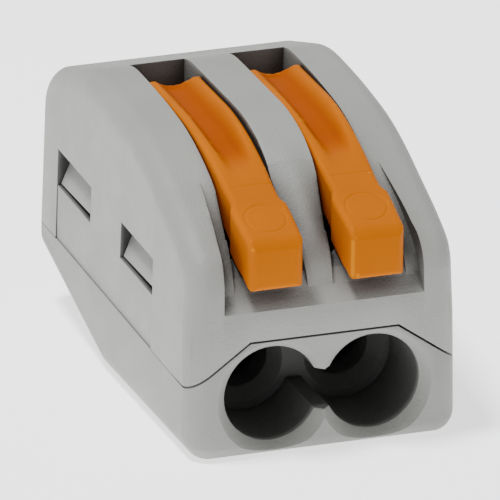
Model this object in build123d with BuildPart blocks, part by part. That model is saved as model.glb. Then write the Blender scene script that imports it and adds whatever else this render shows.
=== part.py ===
"""Two-way lever wire connector: a grey snap-together housing, two orange levers,
two looped clamp springs and one current bar that joins both poles.

Frame: +X to the right, the wire entries face -Y, +Z up. The origin is the bottom centre
of the bounding box. Millimetres.

Side views are drawn on side_plane(), whose first coordinate u is the distance behind the
front face and whose second is the height above the resting face.
"""

import os
from math import atan, cos, radians, sin, tan

from build123d import *

# ---------------------------------------------------------------- driving dimensions
width = 13.4
depth = 22.0  # front face to back face, without the lever tips
height = 13.75
pole_pitch = 5.0
poles = {"left": -1, "right": 1}  # side of the middle plane
tip_overhang = 0.45  # how far a closed lever's tip stands in front of the front face
front = -(depth - tip_overhang) / 2
beyond = 1.0  # how far cutting shapes reach past the faces they cut

# side outline
front_lean = 2.5  # the front face leans back by this much, from its foot
nose_radius = 2.6
brow_radius = 9.9
brow_start = 9.5
slope = 33.0  # of the straight between nose and brow
crest_end = 15.2
crest_radius = 5.0
rear_slope = 18.0  # of the straight behind the crest
shoulder_radius = 2.2
underside_flat = 12.5
underside_rise = 16.8
front_foot_radius = 0.7
rear_foot_radius = 1.0
edge_radius = 1.1
foot_level = 4.0  # both foot edges lie below this height

# split between cover and base
split_front = 3.5
split_rise = 0.036  # the split climbs this much per millimetre towards the back
gap = 0.04
block_depth = 6.6
block_top = 5.65
block_top_half = 3.65
block_gap = 0.1

# inner space
wall = 1.25
inner_half = width / 2 - wall
partition_half = 0.5
floor_thick = 0.75
cavity_front = 6.7
cavity_rear = depth - wall
cavity_top = 9.75
roof_run = 2.4  # the cavity's roof slopes down over this length at the rear
roof_fall = 2.2

# wire entries
entry_z = 2.95
entry_radius = 2.35
entry_chamfer = 0.45
neck_half = 1.0
neck_length = 2.0
neck_corner = 0.28
entry_depth = 4.2
funnel_radius = 2.0
funnel_end = 4.9
tunnel_radius = 1.45

# lever slots and the hollow around the lever tips
slot_rear = 16.6
slot_half = 1.38
slot_flare = 4.4  # the slots widen from here to the front
slot_front = 4.42  # outer edge of the slots at the front
rib_front_half = 0.4
slot_floor = 6.4
rest_front = (0.95, 8.6)  # top of the rest under a closed lever's tip
rest_rear = (2.15, 9.12)
hollow_profile = [(0.6, 7.9), (1.3, 9.4), (2.6, 10.6), (4.0, 11.85), (5.2, 12.85)]
hollow_half_front = 4.95
hollow_half_rear = 4.4
facet_fall = 0.7
facet_run = 0.63

# levers
pivot = (12.5, 11.0)
trunnion_radius = 0.9
trunnion_play = 0.04
trunnion_length = 0.42
cam_centre = (0.37, 0.25)  # from the pivot
cam_radius = 2.08
lever_top = 13.6
facet = ((-0.4, 10.72), (3.9, 12.18))  # the tip's sloping top
arch_middle = (7.0, 13.3)
arch_start = 10.2  # the arm's top is level from here to its rear end
arm_top_end = 14.1
arm_rear = (14.35, 13.25)
arm_underside = [(11.2, 10.3), (6.5, 10.5), (3.4, 9.95), (2.1, 9.3)]
tip_bottom = 8.3
arm_half = 1.33
tip_halves = [(-tip_overhang, 1.34), (1.6, 1.42), (2.2, 1.42), (2.65, 1.22), (3.3, 1.22)]
channel_floor = 13.2
channel_radius = 1.3
head_edge = 0.16
head_nose = 0.5

# clamp springs, in their own plane
strip = 0.35
strip_half = 1.75
loop_centre = (15.2, 7.0)
loop_radius = 2.1
leg_face = 7.5  # front face of the cage leg
bend_radius = 0.8
crossbar = (3.3, 4.1)
window_half = 1.35
window_corner = 0.3
window_top = 8.1
loop_gap = 0.04
fixed_leg_front = 10.9

# current bar
bar_bottom = 4.2
bar_thick = 0.7
bar_half = 4.3
bar_front = 10.6
bar_rear = 16.6
tongue_half = 1.2
tongue_front = 6.95
bar_play = 0.06
bar_corner = 0.4
tongue_root = 1.0  # how far a tongue reaches into the bar

# latches
panel = (5.3, 19.0)
panel_top = 8.06
panel_depth = 0.06
window_length = 4.7
window_height = 1.85
tab_thick = 0.75
tab_gap = 0.08
hook_gap = 0.1
hook_top = 5.85
hook_bottom = 6.45


# ---------------------------------------------------------------- shared planes and outlines
def side_plane(x=0.0):
    """Plane of a side view at x: (u, height)."""
    return Plane(origin=(x, front, 0), x_dir=(0, 1, 0), z_dir=(1, 0, 0))


def front_plane(u=0.0):
    """Plane of a front view at u: (-x, height), normal towards the back."""
    return Plane(origin=(0, front + u, 0), x_dir=(-1, 0, 0), z_dir=(0, 1, 0))


def top_plane(z=0.0):
    """Plane of a top view at height z: (x, u)."""
    return Plane(origin=(0, front, z), x_dir=(1, 0, 0), z_dir=(0, 0, 1))


def split_height(u):
    """Height of the split between base and cover."""
    return split_front + split_rise * u


def panel_edge(u):
    """Height of the side panels' top edge, which runs parallel to the split."""
    return panel_top + split_rise * u


def pole_x(side):
    """Middle of a pole."""
    return side * pole_pitch / 2


def window_spans():
    """(start, end) in u of the two latch windows in each side wall."""
    return [(panel[0], panel[0] + window_length), (panel[1] - window_length, panel[1])]


def on_arc(centre, radius, tilt):
    """Point of a circle whose outward normal leans tilt degrees from up towards the back."""
    return (centre[0] + radius * sin(radians(tilt)), centre[1] + radius * cos(radians(tilt)))


def arc_between(centre, radius, tilt_from, tilt_to):
    """Arc of a circle between two outward normals, in tilt degrees."""
    tilts = (tilt_from, (tilt_from + tilt_to) / 2, tilt_to)
    ThreePointArc(*[on_arc(centre, radius, tilt) for tilt in tilts])


brow = (brow_start, height - brow_radius)
nose_rise = brow_radius - nose_radius - (brow_start - nose_radius) * sin(radians(slope))
nose = (nose_radius, brow[1] + nose_rise / cos(radians(slope)))


def front_face_u(z):
    """u of the leaning front face at height z."""
    return (z - nose[1]) * tan(radians(front_lean))


def housing_outline():
    """The closed housing seen from the side, drawn into the running BuildLine."""
    crest = (crest_end, height - crest_radius)
    crest_foot = on_arc(crest, crest_radius, rear_slope)
    shoulder_u = depth - shoulder_radius
    shoulder_run = shoulder_u + shoulder_radius * sin(radians(rear_slope)) - crest_foot[0]
    shoulder_top = crest_foot[1] - shoulder_run * tan(radians(rear_slope))
    shoulder = (shoulder_u, shoulder_top - shoulder_radius * cos(radians(rear_slope)))
    chin = on_arc(nose, nose_radius, -90 - front_lean)
    toe = chin[0] + front_face_u(0) - front_face_u(chin[1])
    heel = (depth - underside_flat) * tan(radians(underside_rise))
    Line((toe, 0), chin)
    arc_between(nose, nose_radius, -90 - front_lean, -slope)
    Line(on_arc(nose, nose_radius, -slope), on_arc(brow, brow_radius, -slope))
    arc_between(brow, brow_radius, -slope, 0)
    Line((brow_start, height), (crest_end, height))
    arc_between(crest, crest_radius, 0, rear_slope)
    Line(crest_foot, on_arc(shoulder, shoulder_radius, rear_slope))
    arc_between(shoulder, shoulder_radius, rear_slope, 90)
    Polyline((depth, shoulder[1]), (depth, heel), (underside_flat, 0), (toe, 0))


def block_corners(grow=0.0):
    """Front view of the block that holds the wire entries, its top edges moved out by grow."""
    half = width / 2 + beyond
    fall = (block_top - split_front) / (width / 2 - block_top_half)
    lift = grow / cos(atan(fall))
    side = split_front + lift - fall * beyond
    top_half = block_top_half + grow * tan(atan(fall) / 2)
    return [
        (-half, -beyond),
        (half, -beyond),
        (half, side),
        (top_half, block_top + grow),
        (-top_half, block_top + grow),
        (-half, side),
    ]


def below_split(lift=0.0):
    """Side view of everything below the split."""
    ends = (-beyond, depth + beyond)
    return [
        (ends[0], -beyond),
        (ends[1], -beyond),
        (ends[1], split_height(ends[1]) + lift),
        (ends[0], split_height(ends[0]) + lift),
    ]


def pole_room(side):
    """(middle, half width) of the room between the partition and a side wall."""
    return side * (partition_half + inner_half) / 2, (inner_half - partition_half) / 2


with BuildPart() as blank:
    with BuildSketch(side_plane()):
        with BuildLine():
            housing_outline()
        make_face()
    extrude(amount=width / 2, both=True)
    low_edges = blank.edges().filter_by(Axis.X).filter_by(lambda e: e.center().Z < foot_level)
    fillet(low_edges.sort_by(Axis.Y)[0], front_foot_radius)
    low_edges = blank.edges().filter_by(Axis.X).filter_by(lambda e: e.center().Z < foot_level)
    fillet(low_edges.sort_by(Axis.Y)[-1], rear_foot_radius)
    fillet(blank.edges().filter_by(lambda e: abs(e.center().X) > width / 2 - 0.01), edge_radius)

# ---------------------------------------------------------------- cover
def slot_edge(front_edge, rear_edge, u):
    """Distance of a flared slot edge from the middle plane, at u."""
    return front_edge + (rear_edge - front_edge) * max(u, 0) / slot_flare


def slot_corners(side, front_u):
    """Top view of a lever slot from front_u to its rear end, widening to the front."""
    near = side * (pole_pitch / 2 - slot_half)
    far = side * (pole_pitch / 2 + slot_half)
    return [
        (near, slot_rear),
        (far, slot_rear),
        (far, slot_flare),
        (side * slot_edge(slot_front, slot_half + pole_pitch / 2, front_u), front_u),
        (side * slot_edge(rib_front_half, pole_pitch / 2 - slot_half, front_u), front_u),
        (near, slot_flare),
    ]


with BuildPart() as hollow:
    with BuildSketch(side_plane()):
        with BuildLine():
            lip = hollow_profile[0]
            toe_u = -2 * beyond
            toe_z = lip[1] - facet_fall / facet_run * (lip[0] - toe_u)
            Polyline(hollow_profile[-1], (hollow_profile[-1][0], height + beyond), (toe_u, height + beyond))
            Polyline((toe_u, height + beyond), (toe_u, toe_z), lip)
            Spline(*hollow_profile)
        make_face()
    extrude(amount=width, both=True)
    with BuildSketch(top_plane()):
        flare = (hollow_half_front - hollow_half_rear) / hollow_profile[-1][0]
        near = hollow_half_front + 2 * beyond * flare
        far = hollow_profile[-1][0] + beyond
        far_half = hollow_half_front - far * flare
        Polygon((-near, toe_u), (near, toe_u), (far_half, far), (-far_half, far), align=None)
    extrude(amount=2 * height, mode=Mode.INTERSECT)

with BuildPart() as tip_room:
    for side in poles.values():
        with BuildSketch(top_plane()):
            Polygon(*slot_corners(side, -beyond), align=None)
        extrude(amount=2 * height)
    with BuildSketch(side_plane()):
        Polygon(
            (-beyond, hollow_profile[0][1]),
            hollow_profile[0],
            rest_front,
            rest_rear,
            (slot_rear, rest_rear[1]),
            (slot_rear, height + beyond),
            (-beyond, height + beyond),
            align=None,
        )
    extrude(amount=width, both=True, mode=Mode.INTERSECT)

with BuildPart() as cover:
    add(blank.part)
    with BuildSketch(side_plane()):
        Polygon(*below_split(gap), align=None)
    extrude(amount=width, both=True, mode=Mode.SUBTRACT)
    with BuildSketch(front_plane(-beyond)):
        Polygon(*block_corners(block_gap), align=None)
    extrude(amount=beyond + block_depth + block_gap, mode=Mode.SUBTRACT)
    for side in poles.values():
        middle, half = pole_room(side)
        # room for the clamp, its roof following the rear of the housing
        with BuildSketch(side_plane(middle)):
            Polygon(
                (cavity_front, 0),
                (cavity_front, cavity_top),
                (cavity_rear - roof_run, cavity_top),
                (cavity_rear, cavity_top - roof_fall),
                (cavity_rear, 0),
                align=None,
            )
        extrude(amount=half, both=True, mode=Mode.SUBTRACT)
        # deep slot behind the tip's rest
        with BuildSketch(top_plane(slot_floor)):
            Polygon(*slot_corners(side, rest_rear[0]), align=None)
        extrude(amount=height, mode=Mode.SUBTRACT)
        # trunnion seats
        with BuildSketch(side_plane(pole_x(side))):
            with Locations(pivot):
                Circle(trunnion_radius + trunnion_play)
        seat_half = arm_half + trunnion_length + trunnion_play
        extrude(amount=seat_half, both=True, mode=Mode.SUBTRACT)
        # thin panel in the side wall, and its latch windows
        with BuildSketch(side_plane(side * (width / 2 - panel_depth))):
            Polygon(
                (panel[0], 0),
                (panel[0], panel_edge(panel[0])),
                (panel[1], panel_edge(panel[1])),
                (panel[1], 0),
                align=None,
            )
        extrude(amount=side * beyond, mode=Mode.SUBTRACT)
        for start, end in window_spans():
            with BuildSketch(side_plane(side * (inner_half - tab_thick - tab_gap * 2))):
                Polygon(
                    (start, panel_edge(start) - window_height),
                    (start, panel_edge(start)),
                    (end, panel_edge(end)),
                    (end, panel_edge(end) - window_height),
                    align=None,
                )
            extrude(amount=side * (wall + tab_thick + beyond), mode=Mode.SUBTRACT)
            # room for the latch tab behind the window
            with BuildSketch(side_plane(side * (inner_half - tab_thick - tab_gap * 2))):
                Polygon(
                    (start, 0),
                    (start, panel_edge(start)),
                    (end, panel_edge(end)),
                    (end, 0),
                    align=None,
                )
            extrude(amount=side * (tab_thick + tab_gap * 2), mode=Mode.SUBTRACT)
    # room for the lever tips, and the hollow around them with the facet of the sill at its foot
    add(tip_room.part, mode=Mode.SUBTRACT)
    add(hollow.part, mode=Mode.SUBTRACT)
    # clearance in the partition for the current bar
    with BuildSketch(side_plane()):
        with Locations(((bar_front + bar_rear) / 2, bar_bottom)):
            Rectangle(bar_rear - bar_front + 2 * bar_play, 2 * (bar_thick + bar_play))
    extrude(amount=partition_half + beyond, both=True, mode=Mode.SUBTRACT)
cover.part.label = "upper_housing"

# ---------------------------------------------------------------- base
with BuildPart() as base:
    with BuildSketch(side_plane()):
        Polygon(*below_split(), align=None)
    extrude(amount=width, both=True)
    with BuildSketch(front_plane(-beyond)):
        Polygon(*block_corners(), align=None)
    extrude(amount=beyond + block_depth)
    add(blank.part, mode=Mode.INTERSECT)
    rise = tan(radians(underside_rise))
    for side in poles.values():
        middle, half = pole_room(side)
        with BuildSketch(side_plane(middle)):
            Polygon(
                (block_depth, floor_thick),
                (underside_flat, floor_thick),
                (cavity_rear, floor_thick + rise * (cavity_rear - underside_flat)),
                (cavity_rear, height),
                (block_depth, height),
                align=None,
            )
        extrude(amount=half, both=True, mode=Mode.SUBTRACT)
        # latch tabs with their hooks
        for start, end in window_spans():
            foot = floor_thick / 2 + rise * max(0, end - underside_flat)
            low = panel_edge(end) - window_height + hook_gap
            high = panel_edge(start) - hook_gap
            outer = inner_half - tab_gap
            profile = [
                (inner_half - tab_thick - tab_gap, foot),
                (inner_half + tab_gap, foot),
                (inner_half + tab_gap, split_height(start) - 2 * tab_gap),
                (outer, split_height(start) - tab_gap),
                (outer, low),
                (hook_bottom, low),
                (hook_top, high),
                (inner_half - tab_thick - tab_gap, high),
            ]
            with BuildSketch(front_plane(start + hook_gap)):
                Polygon(*[(-side * px, pz) for px, pz in profile], align=None)
            extrude(amount=window_length - 2 * hook_gap)
    # raised seat of the current bar on the partition
    with BuildSketch(side_plane()):
        Polygon(
            (bar_front, floor_thick / 2),
            (bar_front, bar_bottom),
            (bar_rear, bar_bottom),
            (bar_rear, floor_thick / 2 + rise * (bar_rear - underside_flat)),
            (underside_flat, floor_thick / 2),
            align=None,
        )
    extrude(amount=partition_half, both=True)
    # wire entries: one mouth shaped like an eight, then a funnel and a tunnel for each pole
    with BuildSketch(front_plane(-beyond)):
        with Locations((-pole_pitch / 2, entry_z), (pole_pitch / 2, entry_z)):
            Circle(entry_radius)
        with Locations((0, entry_z)):
            Rectangle(neck_length, 2 * neck_half)
        cusps = vertices().filter_by(lambda v: abs(v.Z - entry_z) < neck_half + gap)
        fillet(cusps.filter_by(lambda v: abs(v.X) < neck_length / 2), neck_corner)
    extrude(amount=beyond + entry_depth, mode=Mode.SUBTRACT)
    for side in poles.values():
        axis = Axis((pole_x(side), 0, entry_z), (0, 1, 0))
        with BuildSketch(side_plane(pole_x(side))):
            mouth = entry_radius + entry_chamfer
            face_u = front_face_u(entry_z)
            Polygon(
                (face_u - beyond, entry_z),
                (face_u - beyond, entry_z + mouth + beyond),
                (face_u + mouth, entry_z),
                align=None,
            )
        revolve(axis=axis, mode=Mode.SUBTRACT)
        with BuildSketch(side_plane(pole_x(side))):
            Polygon(
                (entry_depth - gap, entry_z),
                (entry_depth - gap, entry_z + funnel_radius),
                (funnel_end, entry_z + tunnel_radius),
                (block_depth + beyond, entry_z + tunnel_radius),
                (block_depth + beyond, entry_z),
                align=None,
            )
        revolve(axis=axis, mode=Mode.SUBTRACT)
base.part.label = "lower_housing"


# ---------------------------------------------------------------- levers
def make_lever(side):
    """One lever: arm, wide tip, cam and two trunnions."""
    x = pole_x(side)
    cam = (pivot[0] + cam_centre[0], pivot[1] + cam_centre[1])
    with BuildPart() as lever:
        with BuildSketch(side_plane(x)):
            with BuildLine():
                Line(*facet)
                ThreePointArc(facet[1], arch_middle, (arch_start, lever_top))
                Polyline((arch_start, lever_top), (arm_top_end, lever_top), arm_rear, cam, arm_underside[0])
                Polyline(*arm_underside, (-tip_overhang, tip_bottom), facet[0])
            make_face()
            front_corners = vertices().sort_by(Axis.X)[:2]
            fillet(front_corners.sort_by(Axis.Y)[-1], head_nose)
            with Locations(cam):
                Circle(cam_radius)
        extrude(amount=pole_pitch / 2, both=True)
        with BuildSketch(top_plane()):
            halves = [(-beyond, tip_halves[0][1]), *tip_halves, (arch_start, arm_half), (depth, arm_half)]
            Polygon(
                *[(x - half, u) for u, half in halves],
                *[(x + half, u) for u, half in reversed(halves)],
                align=None,
            )
        extrude(amount=2 * height, mode=Mode.INTERSECT)
        with BuildSketch(front_plane()):
            with Locations((-x, channel_floor + channel_radius)):
                Circle(channel_radius)
        extrude(amount=depth, mode=Mode.SUBTRACT)
        with BuildSketch(side_plane(x)):
            with Locations(pivot):
                Circle(trunnion_radius)
        extrude(amount=arm_half + trunnion_length, both=True)
        tip = lever.faces().sort_by(Axis.Y)[0]
        fillet(tip.edges(), head_edge)
    return lever.part


# ---------------------------------------------------------------- clamp springs
def make_loop(side):
    """Fixed half of a spring: the leg that lies on the bar, and the loop."""
    x = pole_x(side)
    inner = loop_radius - strip
    centre_u, centre_z = loop_centre
    with BuildPart() as loop:
        with BuildSketch(side_plane(x)):
            with BuildLine():
                Line((fixed_leg_front, centre_z - loop_radius), (centre_u, centre_z - loop_radius))
                arc_between(loop_centre, loop_radius, 180, 0)
                Line((centre_u, centre_z + loop_radius), (centre_u, centre_z + inner))
                arc_between(loop_centre, inner, 0, 180)
                Polyline(
                    (centre_u, centre_z - inner),
                    (fixed_leg_front, centre_z - inner),
                    (fixed_leg_front, centre_z - loop_radius),
                )
            make_face()
        extrude(amount=strip_half, both=True)
    return loop.part


def make_cage(side):
    """Moving half of a spring: the upper leg, the bend and the windowed leg with its crossbar."""
    x = pole_x(side)
    top = loop_centre[1] + loop_radius
    start = loop_centre[0] - loop_gap
    bend = (leg_face + bend_radius, top - bend_radius)
    with BuildPart() as cage:
        with BuildSketch(side_plane(x)):
            with BuildLine():
                Line((start, top), (bend[0], top))
                arc_between(bend, bend_radius, 0, -90)
                Polyline(
                    (leg_face, bend[1]),
                    (leg_face, crossbar[0]),
                    (leg_face + strip, crossbar[0]),
                    (leg_face + strip, bend[1]),
                )
                arc_between(bend, bend_radius - strip, -90, 0)
                Polyline((bend[0], top - strip), (start, top - strip), (start, top))
            make_face()
        extrude(amount=strip_half, both=True)
        with BuildSketch(front_plane(leg_face - beyond)):
            with Locations((-x, (crossbar[1] + window_top) / 2)):
                RectangleRounded(2 * window_half, window_top - crossbar[1], window_corner)
        extrude(amount=beyond + bend_radius, mode=Mode.SUBTRACT)
    return cage.part


# ---------------------------------------------------------------- current bar
with BuildPart() as bar:
    with BuildSketch(top_plane(bar_bottom)):
        with Locations((0, (bar_front + bar_rear) / 2)):
            RectangleRounded(2 * bar_half, bar_rear - bar_front, bar_corner)
        tongue_length = bar_front + tongue_root - tongue_front
        with Locations(*[(pole_x(side), tongue_front + tongue_length / 2) for side in poles.values()]):
            Rectangle(2 * tongue_half, tongue_length)
    extrude(amount=bar_thick)
bar.part.label = "current_bar"

# ---------------------------------------------------------------- files
pieces = {"upper_housing": cover.part, "lower_housing": base.part, "current_bar": bar.part}
for name, side in poles.items():
    pieces[f"lever_{name}"] = make_lever(side)
    pieces[f"spring_loop_{name}"] = make_loop(side)
    pieces[f"spring_cage_{name}"] = make_cage(side)

os.makedirs("parts", exist_ok=True)
for name, piece in pieces.items():
    piece.label = name
    export_step(piece, f"parts/{name}.step")
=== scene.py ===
from math import cos, pi, radians, sin

import bmesh
import bpy
import numpy as np
from mathutils import Matrix, Vector


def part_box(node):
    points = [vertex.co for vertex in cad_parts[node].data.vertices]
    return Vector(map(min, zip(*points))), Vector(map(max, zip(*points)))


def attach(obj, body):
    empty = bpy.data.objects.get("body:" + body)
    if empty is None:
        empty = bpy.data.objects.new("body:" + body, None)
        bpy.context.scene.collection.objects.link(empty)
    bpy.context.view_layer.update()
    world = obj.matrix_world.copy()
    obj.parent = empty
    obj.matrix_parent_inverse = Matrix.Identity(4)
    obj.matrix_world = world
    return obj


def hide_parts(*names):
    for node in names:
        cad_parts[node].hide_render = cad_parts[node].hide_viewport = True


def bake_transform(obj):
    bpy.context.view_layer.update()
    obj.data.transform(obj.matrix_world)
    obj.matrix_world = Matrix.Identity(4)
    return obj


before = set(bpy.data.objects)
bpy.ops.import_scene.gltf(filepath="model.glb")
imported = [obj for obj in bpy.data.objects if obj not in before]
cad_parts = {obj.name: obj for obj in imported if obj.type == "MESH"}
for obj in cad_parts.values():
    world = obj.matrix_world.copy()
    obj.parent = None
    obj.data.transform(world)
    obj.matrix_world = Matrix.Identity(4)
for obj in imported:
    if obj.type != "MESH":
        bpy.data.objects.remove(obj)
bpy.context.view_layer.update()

# Lengths are in millimetres unless a comment says otherwise. u is the distance behind the front face.
MM = 0.001
DEPTH = 22.0
REAR_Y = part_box("upper_housing")[1][1] / MM
FRONT_Y = REAR_Y - DEPTH
TOP_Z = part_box("upper_housing")[1][2] / MM
POLE_X = {"left": -2.5, "right": 2.5}

# ---------------------------------------------------------------- camera and light
AZIMUTH, ELEVATION, ROLL = -19.912, 21.497, 0.615  # degrees
DISTANCE = 677.458
LENS = 1033.97  # on the 36 mm sensor
SHIFT = (-0.004176, -0.03414)
TARGET = Vector((0, FRONT_Y + 10, 7)) * MM
WORLD_LIGHT = 0.42
FLOOR_GLOW = 1.35
FLOOR_SIZE = 4  # metres
FLOOR_GAP = 0.01  # between the floor and the part's foot


def add_camera():
    """Camera at the chosen viewing angle, looking at the middle of the part."""
    a, e, r = radians(AZIMUTH), radians(ELEVATION), radians(ROLL)
    back = Vector((sin(a) * cos(e), -cos(a) * cos(e), sin(e)))
    right = Vector((0, 0, 1)).cross(back).normalized()
    up = back.cross(right)
    rolled_right = cos(r) * right + sin(r) * up
    rolled_up = cos(r) * up - sin(r) * right
    data = bpy.data.cameras.new("camera")
    data.sensor_width = 36.0
    data.lens = LENS
    data.shift_x, data.shift_y = SHIFT
    data.clip_start = 0.01
    data.clip_end = 20
    camera = bpy.data.objects.new("camera", data)
    axes = Matrix((rolled_right, rolled_up, back)).transposed().to_4x4()
    camera.matrix_world = Matrix.Translation(TARGET + back * DISTANCE * MM) @ axes
    bpy.context.scene.collection.objects.link(camera)
    bpy.context.scene.camera = camera


def add_area_light(name, place, size, power):
    """Square softbox of a size in metres, pointed at the part."""
    data = bpy.data.lights.new(name, "AREA")
    data.size = size
    data.energy = power
    light = bpy.data.objects.new(name, data)
    light.location = Vector(place) * MM
    light.rotation_euler = (TARGET - light.location).to_track_quat("-Z", "Y").to_euler()
    bpy.context.scene.collection.objects.link(light)


def add_surroundings():
    """Pale floor, pale world and a soft light from above."""
    bpy.ops.mesh.primitive_plane_add(size=FLOOR_SIZE, location=(0, 0, -FLOOR_GAP * MM))
    floor = bpy.context.object
    floor.name = "floor"
    material, shader, tree = new_material("floor", (0.95, 0.95, 0.95), 0.9)
    shader.inputs["Emission Color"].default_value = (1, 1, 1, 1)
    shader.inputs["Emission Strength"].default_value = FLOOR_GLOW
    shader.inputs["Specular IOR Level"].default_value = 0.1
    where = tree.nodes.new("ShaderNodeTexCoord")
    paper = spread_colours(tree, noise(tree, where, 40.0), (0.93, 0.93, 0.93), (0.96, 0.96, 0.96))
    tree.links.new(paper, shader.inputs["Base Color"])
    floor.data.materials.append(material)
    world = bpy.data.worlds.new("world")
    world.use_nodes = True
    background = world.node_tree.nodes["Background"]
    background.inputs["Color"].default_value = (1, 1, 1, 1)
    background.inputs["Strength"].default_value = WORLD_LIGHT
    bpy.context.scene.world = world
    add_area_light("key", place=(-70, 10, 260), size=0.05, power=1.0)


# ---------------------------------------------------------------- materials
NOISE_MIDDLE = (0.3, 0.7)  # where most of a noise's values lie
CLOUDS = 3.0
GLOSS_PATCHES = 1.2
# reach of the occlusion that paints shade into creases and under the lever tips
OCCLUSION_SHADE_REACH = 2.0
SCRATCHES = 0.8
GREY = {
    "colours": ((0.285, 0.288, 0.272), (0.265, 0.268, 0.253)),
    "roughness": (0.5, 0.62),
    "gloss": 0.35,
    "tint": (1, 1, 1),
    "grain": 0.11,
    "depth": 0.03,
}
# painted shade deep in the wire entries, the lever slots and the inner space
GREY_DEPTH_SHADE = (0.03, 0.03, 0.029)
# painted shade in creases and under the lever tips, by occlusion
GREY_OCCLUSION_SHADE = (0.03, 0.03, 0.028)
ORANGE = {
    "colours": ((0.47, 0.122, 0.0), (0.43, 0.107, 0.0)),
    "roughness": (0.34, 0.46),
    "gloss": 0.08,
    "tint": (1, 0.5, 0.04),
    "grain": 0.3,
    "depth": 0.006,
}
# painted shade in the levers' channel and low on their sides
ORANGE_DEPTH_SHADE = (0.31, 0.058, 0.0)
# painted shade in the levers' creases, by occlusion
ORANGE_OCCLUSION_SHADE = (0.26, 0.035, 0.0)
# paler orange on bulging edges: wear together with a painted highlight
PALE_EDGE_ORANGE = (0.62, 0.22, 0.002)
PALE_EDGE_FROM, PALE_EDGE_TO, PALE_EDGE_SHARE = 0.52, 0.58, 0.6  # of Pointiness


def new_material(name, colour, roughness, metallic=0.0):
    """A material with its principled shader and node tree."""
    material = bpy.data.materials.new(name)
    material.use_nodes = True
    shader = material.node_tree.nodes["Principled BSDF"]
    shader.inputs["Base Color"].default_value = (*colour, 1)
    shader.inputs["Roughness"].default_value = roughness
    shader.inputs["Metallic"].default_value = metallic
    return material, shader, material.node_tree


def noise(tree, coordinates, scale, detail=3.0, output="Object"):
    """Noise over a node's coordinates, with features of about scale."""
    node = tree.nodes.new("ShaderNodeTexNoise")
    node.inputs["Scale"].default_value = 1 / (scale * MM)
    node.inputs["Detail"].default_value = detail
    tree.links.new(coordinates.outputs[output], node.inputs["Vector"])
    return node.outputs["Fac"]


def spread_colours(tree, factor, low, high):
    """The middle of a noise's range as a run of colours from low to high."""
    scale = tree.nodes.new("ShaderNodeValToRGB")
    for element, place, colour in zip(scale.color_ramp.elements, NOISE_MIDDLE, (low, high)):
        element.position = place
        element.color = (*colour, 1)
    tree.links.new(factor, scale.inputs["Fac"])
    return scale.outputs["Color"]


def map_range(tree, factor, source, target):
    """Factor mapped from the source range to the target range."""
    node = tree.nodes.new("ShaderNodeMapRange")
    node.inputs["From Min"].default_value, node.inputs["From Max"].default_value = source
    node.inputs["To Min"].default_value, node.inputs["To Max"].default_value = target
    tree.links.new(factor, node.inputs["Value"])
    return node.outputs["Result"]


def add_bump(tree, shader, height, distance):
    """Bump of a given depth."""
    bump = tree.nodes.new("ShaderNodeBump")
    bump.inputs["Distance"].default_value = distance * MM
    tree.links.new(height, bump.inputs["Height"])
    tree.links.new(bump.outputs["Normal"], shader.inputs["Normal"])


def moulded_plastic(name, colours, roughness, gloss, tint, grain, depth, occlusion_shade, openness, own_only=False):
    """Moulded plastic: fine grain, clouding, uneven gloss and painted shade in creases, slots and under
    things, from occlusion.

    With own_only, only the piece itself casts this painted shade, whatever lies near it.
    """
    material, shader, tree = new_material(name, colours[0], roughness[0])
    shader.inputs["Specular IOR Level"].default_value = gloss
    shader.inputs["Specular Tint"].default_value = (*tint, 1)
    where = tree.nodes.new("ShaderNodeTexCoord")
    colour = spread_colours(tree, noise(tree, where, CLOUDS), *colours)
    # occlusion darkens the colour: painted shade in creases, slots and under the lever tips
    near = tree.nodes.new("ShaderNodeAmbientOcclusion")
    near.samples = 8
    near.only_local = own_only
    near.inputs["Distance"].default_value = OCCLUSION_SHADE_REACH * MM
    darken = tree.nodes.new("ShaderNodeMix")
    darken.data_type = "RGBA"
    darken.inputs["A"].default_value = (*occlusion_shade, 1)
    tree.links.new(map_range(tree, near.outputs["AO"], openness, (0, 1)), darken.inputs["Factor"])
    tree.links.new(colour, darken.inputs["B"])
    tree.links.new(darken.outputs["Result"], shader.inputs["Base Color"])
    patches = map_range(tree, noise(tree, where, GLOSS_PATCHES), NOISE_MIDDLE, roughness)
    tree.links.new(patches, shader.inputs["Roughness"])
    add_bump(tree, shader, noise(tree, where, grain, 6.0), depth)
    return material


def colour_over(material, factor, colour):
    """Turns a plastic to another colour by a factor."""
    tree = material.node_tree
    socket = tree.nodes["Principled BSDF"].inputs["Base Color"]
    mix = tree.nodes.new("ShaderNodeMix")
    mix.data_type = "RGBA"
    mix.inputs["B"].default_value = (*colour, 1)
    tree.links.new(factor, mix.inputs["Factor"])
    tree.links.new(socket.links[0].from_socket, mix.inputs["A"])
    tree.links.new(mix.outputs["Result"], socket)


def shade_depth(material, shade):
    """Painted shade where the mesh's own attribute says that it lies deep."""
    depth = material.node_tree.nodes.new("ShaderNodeAttribute")
    depth.attribute_name = "depth"
    colour_over(material, depth.outputs["Fac"], shade)


def pale_edges(material, colour):
    """Paler plastic where the surface bulges, on a mesh of even small faces: wear together with a painted
    highlight along the edges.
    """
    tree = material.node_tree
    bulge = tree.nodes.new("ShaderNodeNewGeometry").outputs["Pointiness"]
    colour_over(material, map_range(tree, bulge, (PALE_EDGE_FROM, PALE_EDGE_TO), (0, PALE_EDGE_SHARE)), colour)


def strip_metal(name, colour, roughness):
    """Rolled metal strip, with fine lines along its length."""
    material, shader, tree = new_material(name, colour, roughness, 1.0)
    where = tree.nodes.new("ShaderNodeTexCoord")
    stretch = tree.nodes.new("ShaderNodeMapping")
    stretch.inputs["Scale"].default_value = (12, 1, 1)
    tree.links.new(where.outputs["Object"], stretch.inputs["Vector"])
    lines = noise(tree, stretch, SCRATCHES, 4.0, "Vector")
    patches = map_range(tree, lines, NOISE_MIDDLE, (roughness - 0.08, roughness + 0.12))
    tree.links.new(patches, shader.inputs["Roughness"])
    add_bump(tree, shader, lines, 0.004)
    return material


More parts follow.
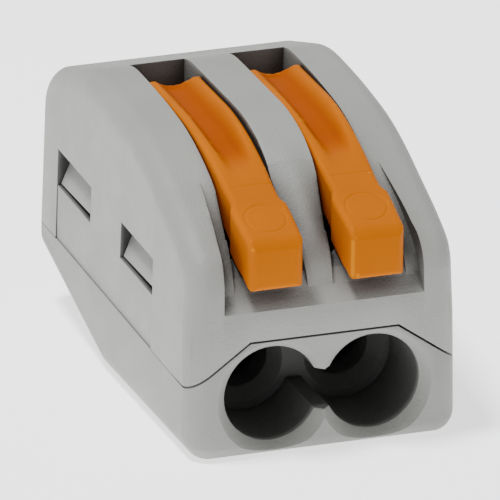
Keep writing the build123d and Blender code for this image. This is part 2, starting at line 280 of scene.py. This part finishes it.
add_camera()
add_surroundings()
# each plastic paints shade into its creases by occlusion
cover_grey = moulded_plastic("grey_plastic", occlusion_shade=GREY_OCCLUSION_SHADE, openness=(0.46, 0.97), **GREY)
base_grey = moulded_plastic(
    "grey_base_plastic", occlusion_shade=GREY_OCCLUSION_SHADE, openness=(0.3, 0.9), own_only=True, **GREY
)
orange = moulded_plastic("orange_plastic", occlusion_shade=ORANGE_OCCLUSION_SHADE, openness=(0.05, 0.6), **ORANGE)
# painted shade where the meshes lie deep
shade_depth(cover_grey, GREY_DEPTH_SHADE)
shade_depth(base_grey, GREY_DEPTH_SHADE)
shade_depth(orange, ORANGE_DEPTH_SHADE)
# paler lever edges: wear together with a painted highlight
pale_edges(orange, PALE_EDGE_ORANGE)
steel = strip_metal("spring_steel", (0.62, 0.61, 0.59), 0.3)
tin = strip_metal("tinned_bar", (0.74, 0.73, 0.7), 0.36)


# ---------------------------------------------------------------- meshes
def copy_in_mm(node):
    """The mesh of a CAD node in millimetres, with its doubled points joined."""
    bm = bmesh.new()
    bm.from_mesh(bpy.data.objects[node].data)
    bmesh.ops.transform(bm, matrix=Matrix.Scale(1 / MM, 4), verts=bm.verts)
    bmesh.ops.remove_doubles(bm, verts=bm.verts, dist=0.0005)
    return bm


def evaluated(bm, name, add_modifiers):
    """A new bmesh, in millimetres, of bm with modifiers applied."""
    mesh = bpy.data.meshes.new(name)
    bm.to_mesh(mesh)
    bm.free()
    helper = bpy.data.objects.new(name, mesh)
    bpy.context.scene.collection.objects.link(helper)
    add_modifiers(helper)
    graph = bpy.context.evaluated_depsgraph_get()
    result = bpy.data.meshes.new_from_object(helper.evaluated_get(graph))
    bm = bmesh.new()
    bm.from_mesh(result)
    bpy.data.objects.remove(helper)
    bpy.data.meshes.remove(mesh)
    bpy.data.meshes.remove(result)
    return bm


def slice_up(bm, axis, start, stop, step):
    """Cuts the mesh by parallel planes, so that it can bend smoothly."""
    normal = Vector([1.0 if i == axis else 0.0 for i in range(3)])
    for place in np.arange(start, stop, step):
        geometry = bm.verts[:] + bm.edges[:] + bm.faces[:]
        bmesh.ops.bisect_plane(bm, geom=geometry, plane_co=normal * float(place), plane_no=normal, dist=1e-5)


def bevel_edges(helper, width, angle):
    """Two-step rounding on every edge sharper than an angle in degrees."""
    bevel = helper.modifiers.new("edges", "BEVEL")
    bevel.width = width
    bevel.segments = 2
    bevel.limit_method = "ANGLE"
    bevel.angle_limit = radians(angle)


def move_points(bm, change, *values):
    """Runs a function over the points of a mesh as one array."""
    points = np.array([v.co[:] for v in bm.verts])
    change(points, *values)
    for vertex, point in zip(bm.verts, points):
        vertex.co = point


def finish_piece(bm, name, material, nodes, sharp=35.0):
    """Makes the object of a piece in metres and hides the CAD nodes that it stands for."""
    bmesh.ops.transform(bm, matrix=Matrix.Scale(MM, 4), verts=bm.verts)
    mesh = bpy.data.meshes.new(name)
    bm.to_mesh(mesh)
    bm.free()
    mesh.shade_smooth()
    mesh.set_sharp_from_angle(angle=radians(sharp))
    mesh.materials.append(material)
    piece = bpy.data.objects.new(name, mesh)
    bpy.context.scene.collection.objects.link(piece)
    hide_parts(*nodes)
    return piece


def store_depth(piece, measure, *values):
    """Stores on the mesh how deep each point lies, from 0 to 1, for the painted shade in the materials."""
    points = np.array([v.co[:] for v in piece.data.vertices]) / MM
    attribute = piece.data.attributes.new("depth", "FLOAT", "POINT")
    attribute.data.foreach_set("value", measure(points, *values).astype(np.float32))


def ramp(value, low, high):
    """0 below low, 1 above high, smooth between."""
    t = np.clip((value - low) / (high - low), 0, 1)
    return t * t * (3 - 2 * t)


# ---------------------------------------------------------------- housing
EDGE_ROUND, EDGE_ANGLE = 0.06, 32
BROW_RADIUS, BROW_U, BROW_REACH = 9.9, 9.5, 8.3
# the crown: its foot, its greatest drop, its flat middle and how fast it falls to the sides
CROWN_BASE, CROWN_DROP = 8.95, 0.9
CROWN_FLAT, CROWN_SPREAD = 0.8, 2.9
CROWN_U, CROWN_AHEAD, CROWN_BEHIND = 5.5, 2.85, 5.1
CROWN_LEAST = 0.6  # height over the foot that a crown needs
DISH, DISH_START, DISH_FADE = 0.32, (1.2, 1.4), (1.4, 2.5)
CLIMB, CLIMB_X, LEDGE_HALF = 0.45, (4.0, 4.85), 5.0
LEAN, LEAN_X, LEAN_BASE, LEAN_HEIGHT = 0.28, (4.6, 6.5), 5.5, 8
ENTRY_Z, ENTRY_RIM, ENTRY_END = 2.95, (2.4, 2.5), 7.0
MOUTH_DEPTH = 0.5
SLOT_EDGE, SLOT_REAR = (1.45, 1.5), 16.6
INSIDE_HALF = 5.4


def soften(helper):
    """Small rounding on every moulded edge."""
    bevel_edges(helper, EDGE_ROUND, EDGE_ANGLE)


def top_height(u):
    """Height of the housing's outline over the brow."""
    reach = np.clip(BROW_U - u, 0, BROW_REACH)
    return TOP_Z - BROW_RADIUS + np.sqrt(BROW_RADIUS**2 - reach**2)


def crown(points):
    """Rounds the top off to the sides, most of all over the brow."""
    u = points[:, 1] - FRONT_Y
    x = np.abs(points[:, 0])
    across = 1 - np.exp(-(np.clip(x - CROWN_FLAT, 0, None) / CROWN_SPREAD) ** 2)
    along = np.exp(-(((u - CROWN_U) / np.where(u < CROWN_U, CROWN_AHEAD, CROWN_BEHIND)) ** 2))
    drop = CROWN_DROP * across * along
    above = points[:, 2] > CROWN_BASE
    outline = top_height(u)
    share = 1 - drop / np.maximum(outline - CROWN_BASE, CROWN_LEAST)
    points[above, 2] = CROWN_BASE + (points[above, 2] - CROWN_BASE) * share[above]
    # the rib dips beside the lever tips
    inward = POLE_X["right"] - x
    beside = (1 - ramp(inward, *DISH_FADE)) * ramp(inward, *DISH_START)
    dish = DISH * beside * ramp(u, 0.8, 2.2) * (1 - ramp(u, 3.4, 6.4))
    points[above, 2] -= dish[above]
    # outside the tips the ledge climbs to the rim, and only its front end keeps a wall
    climb = CLIMB * ramp(x, *CLIMB_X) * ramp(u, 0.9, 3.0) * (1 - ramp(u, 5.0, 5.2))
    rim = outline - drop * (outline > CROWN_BASE + CROWN_LEAST)
    ledge = above & (x < LEDGE_HALF) & (points[:, 2] < rim)
    points[ledge, 2] += (climb * (rim - points[:, 2]))[ledge]
    # side walls leaning in towards the top
    lean = LEAN * ramp(x, *LEAN_X) * np.clip((points[:, 2] - LEAN_BASE) / LEAN_HEIGHT, 0, 1)
    points[:, 0] -= np.sign(points[:, 0]) * lean


def housing_depth(points):
    """How deep points lie in a wire entry, a lever slot or the inner space, for painted shade there."""
    u = points[:, 1] - FRONT_Y
    z = points[:, 2]
    x = np.abs(points[:, 0])
    off_pole = x - POLE_X["right"]
    from_axis = np.hypot(off_pole, z - ENTRY_Z)
    past_mouth = 0.74 * ramp(u, MOUTH_DEPTH, MOUTH_DEPTH + 0.12) + 0.1 * ramp(u, 3.6, 4.2)
    in_entry = np.minimum(1 - ramp(from_axis, *ENTRY_RIM), past_mouth) * (u < ENTRY_END)
    in_slot = np.minimum(1 - ramp(np.abs(off_pole), *SLOT_EDGE), ramp(u, 6.0, 7.0))
    in_slot = in_slot * (1 - ramp(z, 11.0, 12.9)) * (u < SLOT_REAR + 0.01)
    in_slot = in_slot * (0.9 - 0.45 * ramp(u, 13.5, 16.0))
    inside = (x < INSIDE_HALF) * ramp(u, 5.0, 6.5) * (1 - ramp(z, 8.0, 10.5))
    inside = inside * ramp(z, 0.2, 0.6) * (1 - ramp(u, 20.5, 20.9))
    return np.clip(np.maximum(np.maximum(in_entry, in_slot), inside), 0, 1)


def half_of_housing(node):
    """The mesh of the cover or the base, with its edges rounded."""
    bm = copy_in_mm(node)
    bmesh.ops.dissolve_limit(bm, angle_limit=radians(0.6), verts=bm.verts, edges=bm.edges)
    return evaluated(bm, node, soften)


def make_cover():
    """Cover, crowned and with its walls leaning in."""
    bm = half_of_housing("upper_housing")
    slice_up(bm, 0, -6.4, 6.5, 0.25)
    slice_up(bm, 1, FRONT_Y + 0.3, FRONT_Y + 7, 0.3)
    slice_up(bm, 1, FRONT_Y + 7.3, FRONT_Y + 16, 0.6)
    slice_up(bm, 2, 12.3, 13.6, 0.3)
    move_points(bm, crown)
    piece = finish_piece(bm, "cover", cover_grey, ["upper_housing"])
    store_depth(piece, housing_depth)
    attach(piece, "housing")


def make_base():
    """Base with its wire entries."""
    bm = half_of_housing("lower_housing")
    slice_up(bm, 1, FRONT_Y + 0.3, FRONT_Y + 7, 0.3)
    piece = finish_piece(bm, "base", base_grey, ["lower_housing"])
    store_depth(piece, housing_depth)
    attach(piece, "housing")


# ---------------------------------------------------------------- levers
VOXEL = 0.075
LEVER_TOP = 13.6
FACET_FRONT, FACET_REAR = (-0.4, 10.72), (3.9, 12.18)
ARCH_END, ARCH_POWER = 10.2, 1.9
ARM_END = 14.1
ARM_MIDDLE_Z = 10.0
# half the width of a lever: parallel tip, narrow waist, then the arm
HALF_PLACES = [-0.5, 1.6, 2.25, 2.65, 3.3, 10.2, 15]
HALF_WIDTHS = [1.34, 1.42, 1.42, 1.22, 1.22, 1.33, 1.33]
LINE_U, LINE_DEPTH, LINE_WIDTH = 3.6, 0.03, 0.06
MARK_U, MARK_RADIUS, MARK_DEPTH, MARK_WIDTH = 1.3, 0.98, 0.035, 0.055
MARK_STRETCH = 1.05
TIP_FRONT, TIP_CORNER = -0.43, 0.45
# centre and radius of the rounding between the tip's top and its front, and where it ends
NOSE, NOSE_RADIUS, NOSE_END = (0.37, 10.14), 0.8, 0.11


def remesh(helper):
    """Even small faces, with the edges rounded as in a mould."""
    voxels = helper.modifiers.new("voxels", "REMESH")
    voxels.mode = "VOXEL"
    voxels.voxel_size = VOXEL
    smooth = helper.modifiers.new("smooth", "SMOOTH")
    smooth.factor = 0.5
    smooth.iterations = 7


def arch_height(u):
    """Height of a lever's top, from the tip's facet over the arched arm to its level rear."""
    (u0, z0), (u1, z1) = FACET_FRONT, FACET_REAR
    facet = z0 + (u - u0) * (z1 - z0) / (u1 - u0)
    t = np.clip((ARCH_END - u) / (ARCH_END - u1), 0, 1)
    arch = LEVER_TOP - (LEVER_TOP - z1) * t**ARCH_POWER
    return np.where(u < u1, facet, arch)


def shape_lever(points, x):
    """Presses the top to its final form: rolled rails, the channel, the tip's edges, line and mark."""
    u = points[:, 1] - FRONT_Y
    across = np.abs(points[:, 0] - x)
    half = np.interp(u, HALF_PLACES, HALF_WIDTHS)
    outline = arch_height(u)
    # channel between the rails, running out towards the tip
    depth = 0.68 * ramp(u, 3.7, 7.6) - 0.2 * ramp(u, 9.5, 13.5)
    reach = 1.04 - 0.2 * (1 - ramp(u, 4.5, 9.0))
    channel = depth * (0.5 + 0.5 * np.cos(pi * np.clip(across / reach, 0, 1) ** 1.6))
    # rails and tip edges rolled over
    roll = 0.28 - 0.04 * ramp(u, 3.0, 5.0)
    over = np.clip(across - (half - roll), 0, roll)
    shoulder = roll - np.sqrt(np.maximum(roll**2 - over**2, 0))
    nose = NOSE[1] + np.sqrt(np.maximum(NOSE_RADIUS**2 - np.clip(NOSE[0] - u, 0, None) ** 2, 0))
    top = np.where(u < NOSE_END, np.minimum(outline, nose), outline) - channel - shoulder
    # line across the neck, and the round mark on the tip
    top -= LINE_DEPTH * np.exp(-(((u - LINE_U) / LINE_WIDTH) ** 2))
    from_mark = np.hypot(across, (u - MARK_U) * MARK_STRETCH)
    top -= MARK_DEPTH * np.exp(-(((from_mark - MARK_RADIUS) / MARK_WIDTH) ** 2))
    upper = points[:, 2] > np.where(u < NOSE_END, NOSE[1], 0.5 * (outline + ARM_MIDDLE_Z))
    upper = upper & (u < ARM_END)
    points[:, 2] = np.where(upper & (points[:, 2] > top), top, points[:, 2])
    # upright corners of the tip rounded
    ahead = TIP_FRONT + TIP_CORNER - u
    aside = across - (half - TIP_CORNER)
    reach = np.hypot(ahead, aside)
    outside = (ahead > 0) & (aside > 0) & (reach > TIP_CORNER)
    share = np.where(outside, TIP_CORNER / np.maximum(reach, 0.01), 1)
    points[:, 1] += ahead * (1 - share)
    points[:, 0] -= np.sign(points[:, 0] - x) * aside * (1 - share)


def lever_depth(points, x):
    """How deep points lie in the channel or low on the sides, where a darker, redder shade is painted."""
    u = points[:, 1] - FRONT_Y
    across = np.abs(points[:, 0] - x)
    in_channel = (1 - ramp(across, 0.45, 0.95)) * ramp(u, 4.2, 7.0) * ramp(points[:, 2], 11.0, 11.5)
    low = (1 - ramp(points[:, 2], 9.0, 11.0)) * ramp(u, 0.2, 1.2)
    return np.maximum(in_channel, 0.7 * low)


def refine_top(bm):
    """Splits the faces of the tip's top, where the finest detail lies."""
    edges = set()
    for face in bm.faces:
        u = face.calc_center_median().y - FRONT_Y
        if u < 4.1 and face.normal.z > 0.6:
            edges.update(face.edges)
    bmesh.ops.subdivide_edges(bm, edges=list(edges), cuts=1, use_grid_fill=True)


def make_lever(side):
    """One lever with its rails, channel and marked tip."""
    node = f"lever_{side}"
    bm = evaluated(copy_in_mm(node), node, remesh)
    refine_top(bm)
    move_points(bm, shape_lever, POLE_X[side])
    piece = finish_piece(bm, f"lever_arm_{side}", orange, [node], 180)
    store_depth(piece, lever_depth, POLE_X[side])
    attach(piece, node)


# ---------------------------------------------------------------- springs
STRIP, STRIP_HALF, STRIP_EDGE = 0.35, 1.75, 0.05
LOOP, LOOP_RADIUS = (15.2, 7.0), 2.1
FIXED_LEG_U = 10.9
LEG_U, BEND = 7.5, 0.8
LEG_STEPS = (7.5, 6.9, 6.3, 5.7, 5.1, 4.6)  # heights down the cage leg
CROSSBAR = (3.3, 3.7, 4.1)
WINDOW_TOP, WINDOW_HALF = 8.1, 1.35


def arc(centre, radius, start, stop, count):
    """Points of an arc in the spring's plane, with its angles in radians."""
    angles = np.linspace(start, stop, count)
    return [(centre[0] + radius * cos(angle), centre[1] + radius * sin(angle)) for angle in angles]


def strip_path():
    """Middle line of a spring from the fixed leg round the loop to the foot of the cage, as (u, z)."""
    middle = LOOP_RADIUS - STRIP / 2
    top = LOOP[1] + middle
    leg = LEG_U + STRIP / 2
    path = [(u, LOOP[1] - middle) for u in np.arange(FIXED_LEG_U, LOOP[0], 0.4)]
    path += arc(LOOP, middle, -pi / 2, pi / 2, 33)
    path += [(u, top) for u in np.arange(LOOP[0] - 0.3, LEG_U + BEND, -0.3)]
    path += arc((LEG_U + BEND, top - BEND + STRIP / 2), BEND - STRIP / 2, pi / 2, pi, 11)
    path += [(leg, z) for z in (WINDOW_TOP, *LEG_STEPS, *reversed(CROSSBAR))]
    return path


def thicken(helper):
    """Strip thickness, with rounded edges."""
    solid = helper.modifiers.new("solid", "SOLIDIFY")
    solid.thickness = STRIP
    solid.offset = 0
    bevel_edges(helper, STRIP_EDGE, 50)


def make_spring(side):
    """One bent strip: fixed leg, loop, upper leg and the windowed cage leg."""
    x = POLE_X[side]
    places = [-STRIP_HALF, -WINDOW_HALF, -0.45, 0.45, WINDOW_HALF, STRIP_HALF]
    bm = bmesh.new()
    rows = [[bm.verts.new((x + p, FRONT_Y + u, z)) for p in places] for u, z in strip_path()]
    for (lower, upper), (_, z) in zip(zip(rows, rows[1:]), strip_path()):
        on_leg = upper[0].co.y < FRONT_Y + LEG_U + STRIP
        window = on_leg and CROSSBAR[-1] + 0.01 < z <= WINDOW_TOP + 0.01
        for i in range(len(places) - 1):
            if not (window and 0 < i < len(places) - 2):
                bm.faces.new((lower[i], lower[i + 1], upper[i + 1], upper[i]))
    bm = evaluated(bm, f"spring_{side}", thicken)
    nodes = [f"spring_loop_{side}", f"spring_cage_{side}"]
    piece = finish_piece(bm, f"clamp_spring_{side}", steel, nodes)
    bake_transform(piece)


make_cover()
make_base()
for side in POLE_X:
    make_lever(side)
    make_spring(side)
bar = bpy.data.objects["current_bar"]
bar.data.materials.clear()
bar.data.materials.append(tin)
